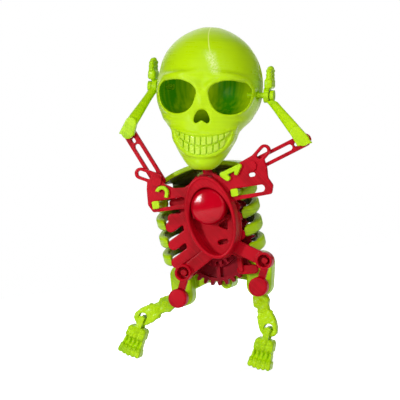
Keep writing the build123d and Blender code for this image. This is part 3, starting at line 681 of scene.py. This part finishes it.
def softenEyes(piece):
    # the raised lips round the sockets melt into the face
    toHead = headPlace.inverted()
    bm = bmesh.new()
    bm.from_mesh(piece.data)
    band = []
    for vertex in bm.verts:
        p = (toHead @ vertex.co) * 1000
        if p.y < eyes["front"]:
            wide = (abs(p.x) - eyes["aside"]) / eyes["halfWidth"]
            tall = (p.z - eyes["rise"]) / eyes["halfHeight"]
            if eyes["rim"] < Vector((wide, tall)).length < eyes["reach"]:
                band.append(vertex)
    for _ in range(eyes["rounds"]):
        bmesh.ops.smooth_vert(bm, verts=band, factor=0.5, use_axis_x=True, use_axis_y=True, use_axis_z=True)
    bm.to_mesh(piece.data)
    bm.free()


# relief on the face, in millimetres: how high it stands, where and how broad it is to the side, and
# where and how broad it is up the face; a slope lifts it toward the side
face = {
    "brow": {"height": 1.5, "aside": (13, 9.5), "rise": (8.4, 1.7), "slope": -0.12},
    "furrow": {"height": -0.6, "aside": (0, 2.4), "rise": (6.0, 3.0), "slope": 0},
    "bridge": {"height": 0.7, "aside": (0, 1.8), "rise": (-4.5, 4.0), "slope": 0},
    "cheek": {"height": 0.8, "aside": (18, 5.0), "rise": (-13.8, 1.9), "slope": 0.2},
    "hollow": {"height": -0.9, "aside": (18, 3.2), "rise": (-20.0, 3.4), "slope": 0},
    "temple": {"height": -0.8, "aside": (25.5, 3.6), "rise": (9.5, 7.0), "slope": 0},
    "chin": {"height": 0.7, "aside": (0, 4.0), "rise": (-35.8, 2.0), "slope": 0},
    "chinCrease": {"height": -0.4, "aside": (0, 7.0), "rise": (-33.0, 0.9), "slope": 0},
}
faceBack = 4                        # millimetres: nothing behind this is moved
faceCentre = Vector((0, 4, -8))     # the outer wall faces away from here


def sculptSkull(piece):
    # brow ridges, cheekbones and chin, moved along the face's own normals
    toHead = headPlace.inverted()
    turn = toHead.to_3x3()
    mesh = piece.data
    normals = [v.normal.copy() for v in mesh.vertices]
    for vertex, normal in zip(mesh.vertices, normals):
        p = (toHead @ vertex.co) * 1000
        if p.y > faceBack or (turn @ normal).dot(p - faceCentre) < 0:
            continue
        lift = 0.0
        for form in face.values():
            aside = abs(p.x) - form["aside"][0]
            rise = p.z - form["rise"][0] - form["slope"] * aside
            lift += form["height"] * bell(aside, form["aside"][1]) * bell(rise, form["rise"][1])
        vertex.co += normal * (lift / 1000)
    mesh.update()


# room for the peg's knob: how much thinner the ring is and up to what height, and how far the palm
# lifts beside the ring and between what heights, in metres
wrist = {"footHeight": 0.0005, "thinner": 0.10, "palmRise": 0.0066, "palmFade": 0.0008,
         "beside": 0.0014, "besideFade": 0.0003, "lift": 0.00035, "liftFrom": 0.0062,
         "liftTo": 0.0104, "liftFade": 0.0034}


def easeWrist(piece):
    lean = Matrix.Rotation(radians(head["lean"]), 3, "Y")
    spots = [lean.inverted() @ v.co for v in piece.data.vertices]
    lowest = min(p.z for p in spots)
    foot = [p.x for p in spots if p.z < lowest + wrist["footHeight"]]
    middle = sum(foot) / len(foot)
    for vertex, p in zip(piece.data.vertices, spots):
        rise, out = p.z - lowest, p.x - middle
        thin = wrist["thinner"] * ramp(rise, wrist["palmRise"], -wrist["palmFade"])
        lift = wrist["lift"] * ramp(abs(out), wrist["beside"], wrist["besideFade"])
        lift *= ramp(rise, wrist["liftTo"], -wrist["liftFade"]) * (rise > wrist["liftFrom"])
        vertex.co = lean @ Vector((p.x - out * thin, p.y, p.z + lift))


# grooves between the foot's long bones: pitch, middle and half length in millimetres, depth in metres
grooves = {"pitch": 2.3, "along": 13.9, "halfLength": 2.2, "depth": 0.0016}


def grooveFoot(piece, node):
    toFoot = limbPlace(node).inverted()
    for vertex in piece.data.vertices:
        p = (toFoot @ vertex.co) * 1000
        if p.z > 0:
            between = (0.5 - 0.5 * cos(2 * pi * p.y / grooves["pitch"])) ** 2
            vertex.co.y += grooves["depth"] * between * bell(p.x - grooves["along"], grooves["halfLength"])


disc = {"dome": 0.0009}    # how far the front swells at its middle, in metres


def domeDisc(piece):
    low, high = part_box("cam_disc")
    radius = (high[0] - low[0]) / 2
    for vertex in piece.data.vertices:
        out = Vector((vertex.co.x - discMiddle.x, vertex.co.z - discMiddle.z)).length / radius
        if vertex.co.y < discMiddle.y:
            vertex.co.y -= disc["dome"] * max(0.0, 1 - out * out)


# small lumps, as the bones have, in metres; on a hand they start above the wrist ring and its knob
lumpGrain = {"size": 0.0017, "fade": 0.001}
lumps = {
    "hand": {"depth": 0.00016, "from": 0.0078},
    "foot": {"depth": 0.00016, "from": -0.01},
    "leg": {"depth": 0.00030, "from": -0.01},
}


def roughen(piece, node, look):
    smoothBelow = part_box(node)[0][2] + look["from"]
    normals = [v.normal.copy() for v in piece.data.vertices]
    for vertex, normal in zip(piece.data.vertices, normals):
        share = ramp(vertex.co.z, smoothBelow, lumpGrain["fade"])
        vertex.co += normal * look["depth"] * share * noise.noise(vertex.co / lumpGrain["size"])


def finishPiece(piece, node):
    # inside the CAD's box, which the mesh may pass by a hair
    for vertex in piece.data.vertices:
        for axis in range(3):
            vertex.co[axis] = min(max(vertex.co[axis], cadBox[0][axis]), cadBox[1][axis])
    piece.data.materials.clear()
    piece.data.materials.append(plasticOf(node))
    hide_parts(node)
    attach(piece, bodyOf[node])


# copies of the CAD solids with their edges melted round: grain of the mesh in metres, rounds of smoothing
printed = {
    "skull": (0.00056, 8), "upper_teeth": (0.00015, 9), "lower_teeth": (0.00015, 9), "rib_cage": (0.00040, 5),
    "pelvis": (0.00036, 5), "yoke": (0.00030, 4), "hip_beam": (0.00030, 4), "front_plate": (0.00030, 4),
    "cam_disc": (0.00024, 3),
}
for side in ("left", "right"):
    printed.update({"hand_" + side: (0.00020, 3), "forearm_" + side: (0.00026, 4),
                    "leg_" + side: (0.00026, 4), "foot_" + side: (0.00022, 3),
                    "upper_arm_" + side: (0.00026, 3), "hip_link_" + side: (0.00026, 4),
                    "clip_" + side: (0.00020, 3)})

for node, (grain, rounds) in printed.items():
    kind = node.split("_")[0]
    piece = meltedCopy(node, grain, rounds)
    if kind == "skull":
        softenEyes(piece)
        sculptSkull(piece)
    if kind == "hand":
        easeWrist(piece)
    if kind == "foot":
        grooveFoot(piece, node)
    if node == "cam_disc":
        domeDisc(piece)
    if kind in lumps:
        roughen(piece, node, lumps[kind])
    finishPiece(piece, node)
print("printed pieces made")

for name, node in frame["nodes"].items():
    if not node.material_slots:
        node.data.materials.append(plasticOf(name))
    for slot in node.material_slots:
        slot.material = plasticOf(name)
print("nodes finished")

studio = {
    "floorDrop": 0.006, "floorSize": 1.6, "floorGrey": 0.93, "floorRough": 0.9,
    "glowNear": 0.62, "glowFar": 1.0, "glowSpan": (0.12, 0.45),    # metres from the figure
    "world": 0.12,
}
lamps = {
    # place from the disc's middle, and size, in metres
    "key": {"spot": (-0.46, -0.98, 0.22), "size": 0.13, "power": 5.8},
    "fill": {"spot": (0.85, -0.75, 0.45), "size": 0.9, "power": 3.4},
    "top": {"spot": (0.19, -0.80, 0.78), "size": 0.16, "power": 3.4},
    "back": {"spot": (-0.25, 0.95, 0.55), "size": 1.0, "power": 4.2},
}


def seenPlainly(tree):
    # 1 for the camera and for what mirrors and clear plastic show
    path = tree.nodes.new("ShaderNodeLightPath")
    return calc(tree, "MAXIMUM", path.outputs["Is Camera Ray"],
                calc(tree, "MAXIMUM", path.outputs["Is Glossy Ray"], path.outputs["Is Transmission Ray"]))


def makeFloor():
    # a pale sheet that the shadow stays on: a bright colour, and a little light of its own for the camera
    bm = bmesh.new()
    bmesh.ops.create_grid(bm, x_segments=1, y_segments=1, size=studio["floorSize"])
    bmesh.ops.translate(bm, verts=bm.verts, vec=(0, 0, cadBox[0][2] - studio["floorDrop"]))
    floor = objectFrom(bm, "floor")
    mat = bpy.data.materials.new("paleFloor")
    mat.use_nodes = True
    tree = mat.node_tree
    shader = tree.nodes["Principled BSDF"]
    shader.inputs["Base Color"].default_value = (studio["floorGrey"],) * 3 + (1,)
    shader.inputs["Roughness"].default_value = studio["floorRough"]
    shader.inputs["Emission Color"].default_value = (1, 1, 1, 1)
    place = tree.nodes.new("ShaderNodeTexCoord")
    length = tree.nodes.new("ShaderNodeVectorMath")
    length.operation = "LENGTH"
    tree.links.new(place.outputs["Object"], length.inputs[0])
    glow = spread(tree, length.outputs["Value"], *studio["glowSpan"], studio["glowNear"], studio["glowFar"])
    feed(tree, shader.inputs["Emission Strength"], times(tree, seenPlainly(tree), glow))
    floor.data.materials.append(mat)


def makeLamp(name, look):
    data = bpy.data.lights.new(name, "AREA")
    data.size = look["size"]
    data.energy = look["power"]
    lamp = bpy.data.objects.new(name, data)
    lamp.location = discMiddle + Vector(look["spot"])
    aim = discMiddle - lamp.location
    lamp.rotation_euler = aim.to_track_quat("-Z", "Y").to_euler()
    bpy.context.scene.collection.objects.link(lamp)


def makeWorld():
    # white to the camera and through clear things, and dim as a light
    world = bpy.data.worlds.new("studioWorld")
    bpy.context.scene.world = world
    world.use_nodes = True
    tree = world.node_tree
    back = tree.nodes["Background"]
    back.inputs["Color"].default_value = (1, 1, 1, 1)
    back.inputs["Strength"].default_value = studio["world"]
    white = tree.nodes.new("ShaderNodeBackground")
    white.inputs["Color"].default_value = (1, 1, 1, 1)
    path = tree.nodes.new("ShaderNodeLightPath")
    seen = calc(tree, "MAXIMUM", path.outputs["Is Camera Ray"], path.outputs["Is Transmission Ray"])
    mix = tree.nodes.new("ShaderNodeMixShader")
    tree.links.new(seen, mix.inputs[0])
    tree.links.new(back.outputs[0], mix.inputs[1])
    tree.links.new(white.outputs[0], mix.inputs[2])
    tree.links.new(mix.outputs[0], tree.nodes["World Output"].inputs["Surface"])


makeFloor()
for name, look in lamps.items():
    makeLamp(name, look)
makeWorld()
bpy.context.scene.view_settings.view_transform = "Standard"
print("studio made")
